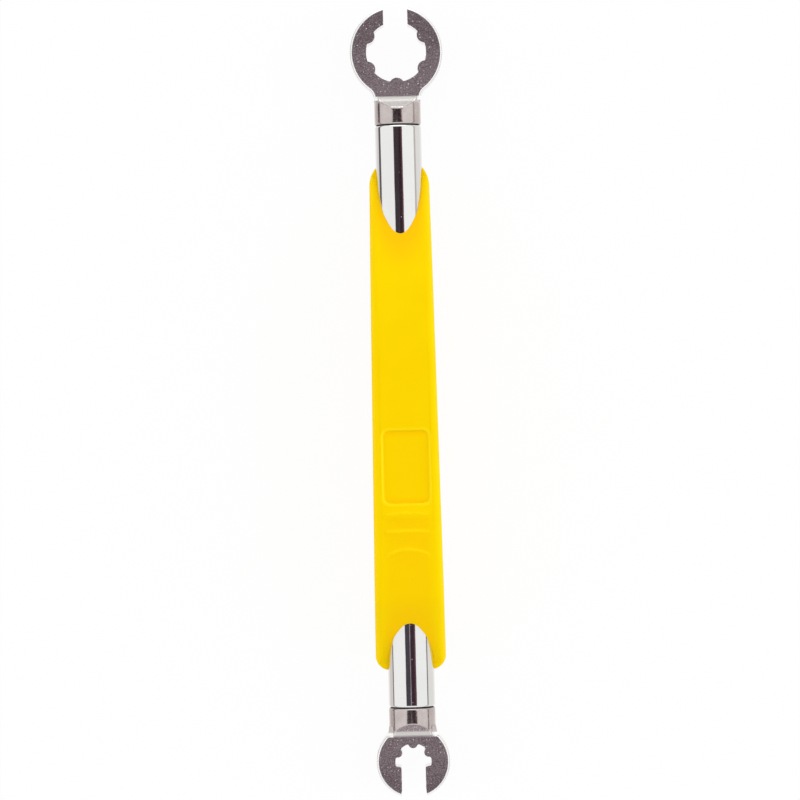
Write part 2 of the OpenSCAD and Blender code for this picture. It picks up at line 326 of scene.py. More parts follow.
def web_centre(head):
    """Middle of the fillet between the disc and the web."""
    x = TUBE_R + WEB_PROUD + WEB_FILLET
    return x, -math.sqrt((head.d / 2 + WEB_FILLET) ** 2 - x * x)


def draw_socket(pen, head):
    """The right half of the socket, from the mouth's wall to the middle of the lobe at the handle."""
    root = head.root_d / 2
    wall = head.mouth / 2
    far = head.tip_d / 2 + head.lobe_r
    gap, bulge = lens(root - head.foot_r, far, head.lobe_r + head.foot_r)
    lobe = LOBE_PITCH / 2
    lobe_x, lobe_y = polar(far, lobe)
    aside = lobe_x - wall
    if aside < head.lobe_r:
        # The mouth's wall runs into the lobe beside it
        rise = math.sqrt(head.lobe_r ** 2 - aside ** 2)
        pen.line(wall, lobe_y - rise)
        pen.arc(lobe_x, lobe_y, lobe + bulge - math.atan2(rise, aside))
    else:
        # The wall runs over a rounded lip into the root circle
        lip_x = wall + head.lip
        lip_y = math.sqrt((root + head.lip) ** 2 - lip_x ** 2)
        entry = math.atan2(lip_y, lip_x)
        pen.line(wall, lip_y)
        pen.arc(lip_x, lip_y, entry)
        pen.arc(0, 0, lobe + gap - entry)
        pen.arc(*polar(root - head.foot_r, lobe + gap), -gap - bulge)
        pen.arc(lobe_x, lobe_y, 2 * bulge)
    for last in (False, True):
        pen.arc(*polar(root - head.foot_r, lobe - gap), -gap - bulge)
        pen.arc(0, 0, 2 * gap - LOBE_PITCH)
        lobe -= LOBE_PITCH
        pen.arc(*polar(root - head.foot_r, lobe + gap), -gap - bulge)
        pen.arc(*polar(far, lobe), bulge if last else 2 * bulge)


def model_plate(head):
    """Half a plate with its socket, mouth and web, rounded along its rim and mirrored to a whole."""
    r = head.d / 2
    fillet_x, fillet_y = web_centre(head)
    side = fillet_x - WEB_FILLET
    foot = fillet_y - WEB_LAND
    tip_x = head.mouth / 2 + head.flare
    tip_y = math.sqrt(r * r - tip_x * tip_x)
    pen = Pencil(head.node + "_plate", 0, foot)
    pen.line(TUBE_R + 2 * NEAR, foot)
    pen.line(side, fillet_y)
    pen.arc(fillet_x, fillet_y, -math.atan2(-fillet_y, fillet_x))
    pen.arc(0, 0, math.atan2(tip_y, tip_x) - math.atan2(fillet_y, fillet_x))
    pen.line(head.mouth / 2, tip_y - OVER)
    draw_socket(pen, head)
    pen.line(0, foot)
    plate = pen.slab(PLATE_T, PLATE_T / 2)

    def on_rim(point):
        on_disc = abs(math.hypot(point.x, point.y) - r) < NEAR
        on_fillet = abs(math.hypot(point.x - fillet_x, point.y - fillet_y) - WEB_FILLET) < NEAR
        on_side = abs(point.x - side) < WEB_PROUD and point.y < fillet_y + NEAR
        return (on_disc or on_fillet or on_side) and abs(abs(point.z) - PLATE_T / 2) < NEAR

    select_by(plate, "EDGE", on_rim)
    bpy.ops.mesh.bevel(offset=RIM_ROUND, segments=RIM_STEPS, profile=0.5, affect="EDGES")
    select_by(plate, "FACE", lambda point: abs(point.x) < TOUCH)
    bpy.ops.mesh.delete(type="FACE")
    bpy.ops.object.mode_set(mode="OBJECT")
    modify(plate, "MIRROR", merge_threshold=TOUCH)
    break_edges(plate)
    return plate


def break_edges(plate):
    """A fine chamfer on the crisp edges of socket and mouth, so that they catch the light."""
    bpy.ops.object.mode_set(mode="EDIT")
    bpy.ops.mesh.select_mode(type="EDGE")
    bpy.ops.mesh.select_all(action="DESELECT")
    bpy.ops.mesh.edges_select_sharp(sharpness=CRISP_OVER)
    bpy.ops.mesh.bevel(
        offset=EDGE_BREAK, segments=BREAK_STEPS, profile=0.5, affect="EDGES", clamp_overlap=True)
    tidy_mesh()
    bpy.ops.object.mode_set(mode="OBJECT")


def ramp_run(head):
    """Length of a ramp along the neck, with its roll-off."""
    rise = TUBE_R - PLATE_T / 2 - head.ramp_r * (1 - math.cos(head.slope))
    curves = head.ramp_r * math.sin(head.slope) + head.roll_r * math.tan(head.slope / 2)
    return curves + rise / math.tan(head.slope)


def model_neck(head):
    """A round neck with its shoulder and spigot, and a ramp down to each face of the plate."""
    root = -head.ramp_at + OVER / 2
    spigot = BORE_R - FIT_GAP
    end = -head.reach - SPIGOT_LEN
    pen = Pencil(head.node + "_neck", 0, end)
    pen.line(spigot - SPIGOT_LEAD, end)
    pen.line(spigot, end + SPIGOT_LEAD)
    pen.line(spigot, -head.reach)
    pen.line(TUBE_R - JOINT_ROUND, -head.reach)
    pen.arc(TUBE_R - JOINT_ROUND, -head.reach + JOINT_ROUND, math.pi / 2)
    # A ring just below the ramps keeps the neck's shading true
    pen.line(TUBE_R, -head.ramp_at - ramp_run(head) - 2 * NEAR)
    pen.line(TUBE_R, root)
    pen.line(0, root)
    neck = pen.lathe()
    for face in (1, -1):
        combine(neck, ramp_cutter(head, face), "DIFFERENCE")
    return neck


def ramp_cutter(head, face):
    """A block, drawn from the side, that leaves a ramp with a hollow foot, a slope and a roll-off."""
    floor = PLATE_T / 2 - RAMP_SINK
    top = TUBE_R + OVER
    front = -head.ramp_at + OVER
    pen = Pencil("ramp_cutter", front, floor)
    pen.line(-head.ramp_at, floor)
    pen.arc(-head.ramp_at, floor + head.ramp_r, -head.slope)
    along = Vector((-math.cos(head.slope), math.sin(head.slope), 0))
    straight = (TUBE_R + NEAR - pen.at.y) / along.y - head.roll_r * math.tan(head.slope / 2)
    roll_at = pen.at + straight * along
    pen.line(roll_at.x, roll_at.y)
    pen.arc(roll_at.x - head.roll_r * along.y, roll_at.y + head.roll_r * along.x, head.slope)
    pen.line(pen.at.x, top)
    pen.line(front, top)
    pen.line(front, floor)
    block = pen.slab(2 * top, top)
    bpy.ops.object.mode_set(mode="OBJECT")
    block.rotation_euler = (face * math.pi / 2, 0, math.pi / 2)
    return block


def corner_cutter(head, side, face):
    """A wedge that slopes off one corner of the web beside the neck. It is drawn along the neck."""
    neck_edge = math.sqrt(TUBE_R ** 2 - (PLATE_T / 2) ** 2)
    edge_x, edge_z = side * (neck_edge + CORNER_LAND), face * (PLATE_T / 2 + TOUCH)
    pen = Pencil("corner_cutter", edge_x, edge_z)
    pen.line(edge_x + side * OVER, edge_z - face * OVER * math.tan(CORNER_SLOPE))
    pen.line(edge_x + side * OVER, edge_z)
    pen.line(edge_x, edge_z)
    wedge = pen.slab(WEB_FILLET + OVER, 0)
    bpy.ops.object.mode_set(mode="OBJECT")
    wedge.rotation_euler.x = math.pi / 2
    wedge.location.y = -head.ramp_at
    return wedge


def model_head(head):
    """Plate and neck joined, and set in its place at the end of the tube."""
    whole = model_plate(head)
    for side in (1, -1):
        for face in (1, -1):
            combine(whole, corner_cutter(head, side, face), "DIFFERENCE")
    combine(whole, model_neck(head), "UNION")
    whole.name = whole.data.name = head.node + "_finished"
    turn = 0 if head.way > 0 else math.pi
    set_down(whole, (0, head.joint + head.way * head.reach, AXIS_H), turn)
    return whole


# Grip: rounded rectangles along the tube, bridged, then recessed, ribbed and bored

def shoulder_span(end):
    """Where the shoulder starts and where it runs out into the flat face."""
    head = end.land + (AXIS_H - TIP_ROUND) / math.tan(end.bevel)
    reach = end.shoulder * math.tan(end.bevel / 2)
    return head - reach * math.cos(end.bevel), head + reach


def end_depth(d, end):
    """Half depth of one end, at the distance d from its tips."""
    start, flat = shoulder_span(end)
    if d < TIP_ROUND:
        return math.sqrt(TIP_ROUND ** 2 - (TIP_ROUND - d) ** 2)
    if d < end.land:
        return TIP_ROUND
    if d < start:
        return TIP_ROUND + (d - end.land) * math.tan(end.bevel)
    if d < flat:
        return AXIS_H - end.shoulder + math.sqrt(end.shoulder ** 2 - (flat - d) ** 2)
    return AXIS_H


def half_depth(s):
    return min(end_depth(s, LOW_END), end_depth(GRIP_LEN - s, TOP_END))


def half_width(s):
    straight = (GRIP_W_LOW + (GRIP_W_TOP - GRIP_W_LOW) * s / (GRIP_LEN - DOME_H)) / 2
    if s < CORNER_R:
        return straight - CORNER_R + math.sqrt(CORNER_R ** 2 - (CORNER_R - s) ** 2)
    if s > GRIP_LEN - DOME_H:
        return math.sqrt((GRIP_W_TOP / 2) ** 2 - (s - GRIP_LEN + DOME_H) ** 2)
    return straight


def shares(steps):
    """Even steps from just above 0 up to 1."""
    return [i / steps for i in range(1, steps + 1)]


def end_stations(end, rounding):
    """Distances from one end's tips at which the grip's section is drawn."""
    flat = shoulder_span(end)[1]
    bevel_start = 2.0
    tips = [TIP_INSET + (TIP_ROUND - TIP_INSET) * share ** 2 for share in [0, *shares(5)]]
    land = [TIP_ROUND + (end.land - TIP_ROUND) * share for share in shares(5)]
    bevel = [end.land + bevel_start * share for share in shares(6)]
    shoulder = [flat - end.shoulder * math.sin(end.bevel * (1 - share)) for share in [0, *shares(12)]]
    spread = sorted(tips + land + bevel + rounding + shoulder)
    return [d for i, d in enumerate(spread) if i == 0 or d - spread[i - 1] > TIP_INSET]


def grip_stations():
    """Distances from the lower tips at which the grip's section is drawn."""
    corner = [CORNER_R * (1 - math.cos(math.pi / 2 * share)) for share in shares(14)]
    turn = math.asin(2 * DOME_H / GRIP_W_TOP)
    dome = [DOME_H - math.sin(turn * (1 - share)) * GRIP_W_TOP / 2 for share in shares(14)]
    top = end_stations(TOP_END, dome)
    return end_stations(LOW_END, corner) + [GRIP_LEN - d for d in reversed(top)]


def grip_section(s):
    """A plane across the tube with its corners rounded, less where the grip is thin."""
    thin_share = 0.9
    w, h = half_width(s), half_depth(s)
    radius = min(EDGE_ROUND, thin_share * h)
    place = (0, GRIP_LOW + s, AXIS_H)
    bpy.ops.mesh.primitive_plane_add(size=2, location=place, rotation=(math.pi / 2, 0, 0))
    bpy.ops.transform.resize(value=(w, 1, h * EDGE_SPREAD), center_override=place)
    bpy.ops.mesh.bevel(
        affect="VERTICES", offset=radius * EDGE_SPREAD, segments=SECTION_STEPS, profile=0.5)
    bpy.ops.transform.resize(value=(1, 1, 1 / EDGE_SPREAD), center_override=place)


def grip_blank():
    """The grip's outer form, without bore and recesses."""
    blank = new_piece("moulded_grip")
    for s in grip_stations():
        grip_section(s)
    bpy.ops.mesh.select_all(action="SELECT")
    bpy.ops.mesh.delete(type="ONLY_FACE")
    bpy.ops.mesh.select_mode(type="EDGE")
    bpy.ops.mesh.select_all(action="SELECT")
    bpy.ops.mesh.bridge_edge_loops()
    bpy.ops.mesh.select_all(action="DESELECT")
    bpy.ops.mesh.select_non_manifold()
    bpy.ops.mesh.fill_holes(sides=0)
    tidy_mesh()
    bpy.ops.object.mode_set(mode="OBJECT")
    return blank


def bore_cutter():
    """The tube's place, less the plugs that the moulding leaves in its cross holes."""
    length = GRIP_LEN + 2 * OVER
    middle = (0, (GRIP_LOW + GRIP_TOP) / 2, AXIS_H)
    cutter = bar(TUBE_R + FIT_GAP, length, middle, ALONG_Y)
    for place in plug_places():
        combine(cutter, bar(PLUG_D / 2 - FIT_GAP, 2 * TUBE_R + OVER, place, ALONG_Z), "DIFFERENCE")
    combine(cutter, bar(BORE_R, length, middle, ALONG_Y), "UNION")
    return cutter


def hollow_cutter(end, tip, inward, face):
    """A thick bar that hollows a bevel where it meets the tube, and rises out of it further in."""
    radius = ((HOLLOW_W / 2) ** 2 + HOLLOW_SINK ** 2) / (2 * HOLLOW_SINK)
    slope = end.bevel + HOLLOW_LEAN
    arch = end.land + (TUBE_R - TIP_ROUND) / math.tan(end.bevel)
    y = tip + inward * (arch - radius * math.sin(slope))
    z = AXIS_H + face * (TUBE_R - HOLLOW_SINK + radius * math.cos(slope))
    return bar(radius, HOLLOW_L, (0, y, z), (inward * math.cos(slope), face * math.sin(slope)))


def panel_cutter():
    """A slab with rounded corners and leaning walls."""
    cutter = new_piece("panel_cutter")
    floor_w, floor_l = PANEL_W - 2 * PANEL_DRAFT, PANEL_L - 2 * PANEL_DRAFT
    place = (0, PANEL_Y, FACE_Z - PANEL_SINK)
    bpy.ops.mesh.primitive_plane_add(size=1, location=place)
    bpy.ops.transform.resize(value=(floor_w, floor_l, 1), center_override=place)
    bpy.ops.mesh.bevel(affect="VERTICES", offset=PANEL_R, segments=PANEL_STEPS, profile=0.5)
    pull(PANEL_SINK)
    bpy.ops.transform.resize(value=(PANEL_W / floor_w, PANEL_L / floor_l, 1), center_override=place)
    pull(OVER)
    tidy_mesh()
    bpy.ops.object.mode_set(mode="OBJECT")
    return cutter


def soften_panel(grip):
    """Rounds the lip of the sunk panel and the corner at its floor."""
    def around(level):
        def wanted(point):
            in_width = abs(point.x) < PANEL_W / 2 + NEAR
            in_length = abs(point.y - PANEL_Y) < PANEL_L / 2 + NEAR
            return in_width and in_length and abs(point.z - level) < NEAR
        return wanted

    bpy.ops.object.mode_set(mode="EDIT")
    for level, radius in ((FACE_Z, PANEL_LIP), (FACE_Z - PANEL_SINK, PANEL_FOOT)):
        select_by(grip, "EDGE", around(level))
        bpy.ops.mesh.bevel(offset=radius, segments=LIP_STEPS, profile=0.5, affect="EDGES")
    bpy.ops.object.mode_set(mode="OBJECT")


def model_rib(y, arch):
    """A barrel on its side, cut off along an arched line where it is highest."""
    drop = RIB_H - RIB_END
    barrel_r = (RIB_L ** 2 + RIB_H ** 2) / (2 * RIB_H)
    stave_r = ((RIB_W / 2) ** 2 + drop ** 2) / (2 * drop)
    pen = Pencil("thumb_rib", 0, -RIB_W / 2)
    pen.line(barrel_r - drop, -RIB_W / 2)
    pen.arc(barrel_r - stave_r, 0, 2 * math.asin(RIB_W / 2 / stave_r))
    pen.line(0, RIB_W / 2)
    rib = pen.lathe()
    set_down(rib, (0, y, FACE_Z + RIB_H - barrel_r), math.pi / 2)
    combine(rib, arch_cone(y, arch), "INTERSECT")
    return rib


def arch_cone(y, arch):
    """A flat cone from a rib's height under the face, whose side is the leaning upper edge of a rib."""
    arch_r = ((RIB_W / 2) ** 2 + arch ** 2) / (2 * arch)
    lean = RIB_H * RIB_DRAFT
    bpy.ops.object.select_all(action="DESELECT")
    bpy.ops.mesh.primitive_cone_add(
        vertices=4 * LATHE_STEPS, radius1=arch_r + lean, radius2=arch_r - 2 * lean, depth=3 * RIB_H,
        location=(0, y - arch_r, FACE_Z + RIB_H / 2))
    return bpy.context.object


def model_grip():
    grip = grip_blank()
    for end, tip, inward in ((LOW_END, GRIP_LOW, 1), (TOP_END, GRIP_TOP, -1)):
        for face in (1, -1):
            combine(grip, hollow_cutter(end, tip, inward, face), "DIFFERENCE")
    combine(grip, panel_cutter(), "DIFFERENCE")
    soften_panel(grip)
    for y, arch in RIBS:
        combine(grip, model_rib(y, arch), "UNION")
    combine(grip, bore_cutter(), "DIFFERENCE")
    return grip


# Colours of the finishes. Pairs are two tones that a pattern runs between.

GRIME = (0.02, 0.016, 0.016, 1)
DUST = (0.7, 0.68, 0.68, 1)
CHROME = (0.83, 0.835, 0.825, 1), (0.87, 0.87, 0.86, 1)
BRIGHT_RIM = (0.95, 0.95, 0.945, 1)
SATIN_NECK = (0.55, 0.485, 0.47, 1), (0.63, 0.565, 0.55, 1)
FROSTED_RAMP = (0.66, 0.64, 0.615, 1)
CAST_FACE = (0.15, 0.116, 0.128, 1), (0.325, 0.262, 0.284, 1)
CAST_DOME = (0.27, 0.22, 0.235, 1), (0.55, 0.46, 0.48, 1)
PALE_SPECK = (0.95, 0.93, 0.93, 1)
YELLOW = (0.97, 0.65, 0.0004, 1), (0.98, 0.685, 0.0006, 1)
# Painted shade in the sunk panel, darkest at its two ends
PANEL_SHADE_AMBER = (0.97, 0.645, 0.0004, 1), (0.96, 0.58, 0.0004, 1)
# Painted shade where the moulding is thin over the tube
NEAR_TUBE_SHADE_YELLOW = (0.99, 0.56, 0.003, 1)
# Painted shade, patchy, from the top rib down towards the grip's lower end
LOW_END_SHADE_YELLOW = (0.96, 0.6, 0.001, 1)
# Painted highlights on the ribs' upper edges and on the panel's lip
CREST_HIGHLIGHT_YELLOW = (0.99, 0.69, 0.002, 1)
LIP_HIGHLIGHT_YELLOW = (0.99, 0.73, 0.004, 1)
YELLOW_GLOSS = (1, 0.75, 0.02, 1)


# Finishes: node helpers

def feed(tree, socket, value):
    """Links a socket to another one, or sets it to a plain value."""
    if isinstance(value, bpy.types.NodeSocket):
        tree.links.new(value, socket)
    else:
        socket.default_value = value


def calc(tree, operation, *values):
    node = tree.nodes.new("ShaderNodeMath")
    node.operation = operation
    for socket, value in zip(node.inputs, values):
        feed(tree, socket, value)
    return node.outputs[0]


def apart(tree, first, second):
    """How far two values are apart."""
    return calc(tree, "ABSOLUTE", calc(tree, "SUBTRACT", first, second))


def ease(tree, value, low, high, start=0.0, end=1.0):
    """Runs softly from start to end as a value goes from low to high."""
    node = tree.nodes.new("ShaderNodeMapRange")
    node.interpolation_type = "SMOOTHSTEP"
    ends = {"Value": value, "From Min": low, "From Max": high, "To Min": start, "To Max": end}
    for name, part in ends.items():
        feed(tree, node.inputs[name], part)
    return node.outputs[0]


def all_of(tree, *masks):
    """Where every mask holds."""
    whole = masks[0]
    for mask in masks[1:]:
        whole = calc(tree, "MULTIPLY", whole, mask)
    return whole


def any_of(tree, first, second):
    """Where either mask holds."""
    return calc(tree, "MAXIMUM", first, second)


def none_of(tree, mask):
    return calc(tree, "SUBTRACT", 1.0, mask)


def blend(tree, share, first, second):
    """Mixes two colours."""
    node = tree.nodes.new("ShaderNodeMix")
    node.data_type = "RGBA"
    colours = [socket for socket in node.inputs if socket.type == "RGBA"]
    feed(tree, node.inputs[0], share)
    feed(tree, colours[0], first)
    feed(tree, colours[1], second)
    return next(socket for socket in node.outputs if socket.type == "RGBA")


def scaled(tree, vector, factors):
    node = tree.nodes.new("ShaderNodeVectorMath")
    node.operation = "MULTIPLY"
    feed(tree, node.inputs[0], vector)
    feed(tree, node.inputs[1], factors)
    return node.outputs[0]


def in_mm(tree, spot):
    return scaled(tree, spot, (1 / MM, 1 / MM, 1 / MM))


def parts_of(tree, vector):
    node = tree.nodes.new("ShaderNodeSeparateXYZ")
    feed(tree, node.inputs[0], vector)
    return node.outputs


def slant(tree, first, second):
    """Straight distance to a place that lies this far off in two directions."""
    squares = calc(tree, "ADD", all_of(tree, first, first), all_of(tree, second, second))
    return calc(tree, "SQRT", squares)


def off_axis(tree, place):
    """Distance from the tool's axis."""
    return slant(tree, place["X"], calc(tree, "SUBTRACT", place["Z"], AXIS_H))


def new_group(name, inputs, outputs):
    """A node group. Inputs and outputs are a name and a socket type, and plain inputs have a value."""
    group = bpy.data.node_groups.new(name, "ShaderNodeTree")
    for label, kind, *value in inputs:
        socket = group.interface.new_socket(label, in_out="INPUT", socket_type=kind)
        if value:
            socket.default_value = value[0]
    for label, kind in outputs:
        group.interface.new_socket(label, in_out="OUTPUT", socket_type=kind)
    return group, group.nodes.new("NodeGroupInput").outputs, group.nodes.new("NodeGroupOutput").inputs


def place_group(tree, group, **values):
    """Puts a group in a tree. Words of an input's name are joined by _ in the call."""
    node = tree.nodes.new("ShaderNodeGroup")
    node.node_tree = group
    for name, value in values.items():
        feed(tree, node.inputs[name.replace("_", " ")], value)
    return node.outputs


VECTOR, FLOAT, COLOR = "NodeSocketVector", "NodeSocketFloat", "NodeSocketColor"


def grain_group():
    """Even grain of a given size in millimetres, from 0 to 1."""
    tree, given, result = new_group(
        "grain", [("Vector", VECTOR), ("Size", FLOAT, 1.0), ("Contrast", FLOAT, 1.0)], [("Mask", FLOAT)])
    noise = tree.nodes.new("ShaderNodeTexNoise")
    noise.inputs["Detail"].default_value = 3.0
    feed(tree, noise.inputs["Vector"], given["Vector"])
    feed(tree, noise.inputs["Scale"], calc(tree, "DIVIDE", 1 / MM, given["Size"]))
    rough = calc(tree, "SUBTRACT", noise.outputs["Fac"], 0.5)
    spread = calc(tree, "MULTIPLY_ADD", rough, calc(tree, "MULTIPLY", given["Contrast"], 2.0), 0.5)
    feed(tree, result["Mask"], ease(tree, spread, 0.0, 1.0))
    return tree


def speck_group():
    """Sparse specks of uneven strength, seen from above, in a share of the cells of a given size."""
    tree, given, result = new_group(
        "specks",
        [("Vector", VECTOR), ("Cell", FLOAT, 1.0), ("Speck", FLOAT, 0.1), ("Share", FLOAT, 0.3)],
        [("Mask", FLOAT)])
    cells = tree.nodes.new("ShaderNodeTexVoronoi")
    cells.voronoi_dimensions = "2D"
    feed(tree, cells.inputs["Vector"], given["Vector"])
    feed(tree, cells.inputs["Scale"], calc(tree, "DIVIDE", 1 / MM, given["Cell"]))
    reach = calc(tree, "DIVIDE", given["Speck"], given["Cell"])
    near = ease(tree, cells.outputs["Distance"], reach, calc(tree, "MULTIPLY", reach, 0.5))
    chance = tree.nodes.new("ShaderNodeSeparateColor")
    feed(tree, chance.inputs[0], cells.outputs["Color"])
    lucky = calc(tree, "LESS_THAN", chance.outputs[0], given["Share"])
    strength = calc(tree, "POWER", chance.outputs[1], 2.0)
    feed(tree, result["Mask"], all_of(tree, near, lucky, strength))
    return tree


def grime_group():
    """Dirt in the groove between tube and neck, which lies at one place along Y."""
    tree, given, result = new_group(
        "joint_grime", [("Vector", VECTOR), ("Joint", FLOAT), ("Reach", FLOAT, 0.2)], [("Mask", FLOAT)])
    along = parts_of(tree, in_mm(tree, given["Vector"]))["Y"]
    off = apart(tree, along, given["Joint"])
    thickest = calc(tree, "MULTIPLY", given["Reach"], 0.4)
    feed(tree, result["Mask"], ease(tree, off, given["Reach"], thickest))
    return tree


def crest_highlight_group():
    """A painted highlight along a rib's upper edge: an arched line at one place along Y, on the front
    alone, in millimetres.
    """
    tree, given, result = new_group(
        "rib_crest_highlight", [("Vector", VECTOR), ("At", FLOAT), ("Arch", FLOAT)], [("Mask", FLOAT)])
    place = parts_of(tree, given["Vector"])
    across = calc(tree, "ABSOLUTE", place["X"])
    bow = calc(tree, "POWER", calc(tree, "DIVIDE", across, RIB_W / 2), 2.0)
    crest = calc(tree, "SUBTRACT", given["At"], calc(tree, "MULTIPLY", given["Arch"], bow))
    line = ease(tree, apart(tree, place["Y"], crest), 0.42, 0.05)
    on_rib = ease(tree, across, RIB_W / 2 + 0.1, RIB_W / 2 - 0.4)
    on_front = ease(tree, place["Z"], FACE_Z - 0.4, FACE_Z - 0.2)
    highlight_strength = 0.85
    feed(tree, result["Mask"], all_of(tree, highlight_strength, on_front, on_rib, line))
    return tree


def off_panel(tree, place):
    """Distance from the panel's outline, below zero inside it."""
    over_x = calc(tree, "SUBTRACT", calc(tree, "ABSOLUTE", place["X"]), PANEL_W / 2 - PANEL_R)
    over_y = calc(tree, "SUBTRACT", apart(tree, place["Y"], PANEL_Y), PANEL_L / 2 - PANEL_R)
    corner = slant(tree, calc(tree, "MAXIMUM", over_x, 0.0), calc(tree, "MAXIMUM", over_y, 0.0))
    inside = calc(tree, "MINIMUM", calc(tree, "MAXIMUM", over_x, over_y), 0.0)
    return calc(tree, "SUBTRACT", calc(tree, "ADD", corner, inside), PANEL_R)


def head_group(grain, specks, grime):
    """Finish of a head: dark grained faces with specks, a bright rim, a pale ramp and a satin neck."""
    tree, given, result = new_group(
        "head_finish",
        [("Vector", VECTOR), ("Way", FLOAT, 1.0), ("Ramp Foot", FLOAT), ("Dome", FLOAT), ("Joint", FLOAT)],
        [("Color", COLOR), ("Metallic", FLOAT), ("Roughness", FLOAT), ("Height", FLOAT)])
    spot = given["Vector"]
    place = parts_of(tree, in_mm(tree, spot))

    # Where the surfaces are, by the way past the ramp's foot and the height over the middle
    beyond = calc(tree, "MULTIPLY", calc(tree, "SUBTRACT", place["Y"], given["Ramp Foot"]), given["Way"])
    lift = apart(tree, place["Z"], AXIS_H)
    half = PLATE_T / 2
    foot_start = calc(tree, "MULTIPLY_ADD", given["Dome"], -0.3, -0.15)
    foot_end = calc(tree, "MULTIPLY_ADD", given["Dome"], 0.1, 0.05)
    plate = ease(tree, beyond, foot_start, foot_end)
    off_plate = none_of(tree, plate)
    over_rim = ease(tree, lift, half - 0.004, half - 0.001)
    under_ramp = ease(tree, lift, half + 0.05, half + 0.02)
    face = all_of(tree, plate, over_rim, under_ramp)
    in_round = calc(tree, "SUBTRACT", TUBE_R, off_axis(tree, place))
    neck = all_of(tree, off_plate, ease(tree, calc(tree, "ABSOLUTE", in_round), 0.05, 0.02))
    above_web = ease(tree, lift, half - 0.05, half)
    ramp = all_of(tree, off_plate, ease(tree, in_round, 0.02, 0.2), above_web)
    off_ramp = none_of(tree, ramp)
    dome = all_of(tree, ramp, given["Dome"], ease(tree, beyond, -0.65, -1.05))
    web = all_of(tree, off_ramp, ease(tree, beyond, -0.5, -0.8))
    corner = all_of(tree, off_plate, off_ramp, ease(tree, beyond, -1.25, -0.65))
    cast = any_of(tree, face, dome)
    frosted = any_of(tree, all_of(tree, ramp, none_of(tree, dome)), corner)

    # Grain that gets paler towards the neck, specks, and dirt in the groove
    fine = place_group(tree, grain, Vector=spot, Size=0.17, Contrast=3.2)["Mask"]
    broad = place_group(tree, grain, Vector=spot, Size=2.2, Contrast=1.4)["Mask"]
    cloudy = calc(tree, "MULTIPLY_ADD", broad, 0.25, calc(tree, "MULTIPLY_ADD", fine, 1.1, -0.19))
    paler_to_neck = ease(tree, beyond, 11.0, 0.5, -0.25, 0.38)
    paler_to_neck = calc(tree, "MULTIPLY_ADD", given["Dome"], -0.1, paler_to_neck)
    cloudy = calc(tree, "ADD", cloudy, paler_to_neck)
    dots = place_group(tree, specks, Vector=spot, Cell=0.5, Speck=0.085, Share=0.5)["Mask"]
    dots = all_of(tree, dots, calc(tree, "MULTIPLY_ADD", neck, 0.3, cast))
    dirt = place_group(tree, grime, Vector=spot, Joint=given["Joint"], Reach=0.22)["Mask"]

    colour = blend(tree, any_of(tree, neck, web), BRIGHT_RIM, blend(tree, broad, *SATIN_NECK))
    colour = blend(tree, ramp, colour, FROSTED_RAMP)
    colour = blend(tree, face, colour, blend(tree, cloudy, *CAST_FACE))
    colour = blend(tree, dome, colour, blend(tree, fine, *CAST_DOME))
    colour = blend(tree, dots, colour, PALE_SPECK)
    feed(tree, result["Color"], blend(tree, dirt, colour, GRIME))
    dull = any_of(tree, any_of(tree, dots, dirt), calc(tree, "MULTIPLY", frosted, 0.7))
    feed(tree, result["Metallic"], none_of(tree, dull))
    rough = calc(tree, "MULTIPLY_ADD", fine, 0.05, 0.12)
    rough = calc(tree, "MULTIPLY_ADD", frosted, 0.2, rough)
    rough = calc(tree, "MULTIPLY_ADD", none_of(tree, neck), 0.08, rough)
    feed(tree, result["Roughness"], calc(tree, "MULTIPLY_ADD", cast, 0.36, rough))
    feed(tree, result["Height"], all_of(tree, fine, calc(tree, "MULTIPLY_ADD", cast, 0.9, 0.1)))
    return tree


def new_finish(name):
    """An empty material with its shader, and the Object coordinates that its patterns follow."""
    material = bpy.data.materials.new(name)
    material.use_nodes = True
    tree = material.node_tree
    shader = next(node for node in tree.nodes if node.type == "BSDF_PRINCIPLED")
    return material, tree, shader.inputs, tree.nodes.new("ShaderNodeTexCoord").outputs["Object"]


def bump(tree, shader, height, depth, strength):
    """Gives the shader relief. The depth is in millimetres."""
    node = tree.nodes.new("ShaderNodeBump")
    node.inputs["Distance"].default_value = depth * MM
    node.inputs["Strength"].default_value = strength
    feed(tree, node.inputs["Height"], height)
    feed(tree, shader["Normal"], node.outputs[0])


def chrome_finish(grain, specks, grime):
    """Bright chrome with a faint haze drawn along the tube, a little dust, and dirt at both joints."""
    material, tree, shader, spot = new_finish("bright_chrome")
    drawn = scaled(tree, spot, (1.0, 0.04, 1.0))
    haze = place_group(tree, grain, Vector=drawn, Size=0.12, Contrast=1.2)["Mask"]
    cloud = place_group(tree, grain, Vector=spot, Size=6.0)["Mask"]
    dust = place_group(tree, specks, Vector=spot, Cell=0.9, Speck=0.07, Share=0.25)["Mask"]
    low = place_group(tree, grime, Vector=spot, Joint=TUBE_LOW, Reach=0.12)["Mask"]
    top = place_group(tree, grime, Vector=spot, Joint=TUBE_TOP, Reach=0.12)["Mask"]
    dirt = any_of(tree, low, top)
    plate = blend(tree, dust, blend(tree, cloud, *CHROME), DUST)
    feed(tree, shader["Base Color"], blend(tree, dirt, plate, GRIME))
    feed(tree, shader["Metallic"], none_of(tree, any_of(tree, dust, dirt)))
    feed(tree, shader["Roughness"], calc(tree, "MULTIPLY_ADD", haze, 0.05, 0.04))
    bump(tree, shader, haze, 0.002, 0.15)
    return material


def head_finish(head, group):
    material, tree, shader, spot = new_finish(head.node + "_nickel")
    foot = head.joint + head.way * (head.reach - head.ramp_at)
    finish = place_group(
        tree, group, Vector=spot, Way=head.way, Ramp_Foot=foot, Dome=head.dome, Joint=head.joint)
    feed(tree, shader["Base Color"], finish["Color"])
    feed(tree, shader["Metallic"], finish["Metallic"])
    feed(tree, shader["Roughness"], finish["Roughness"])
    bump(tree, shader, finish["Height"], 0.012, 0.35)
    return material


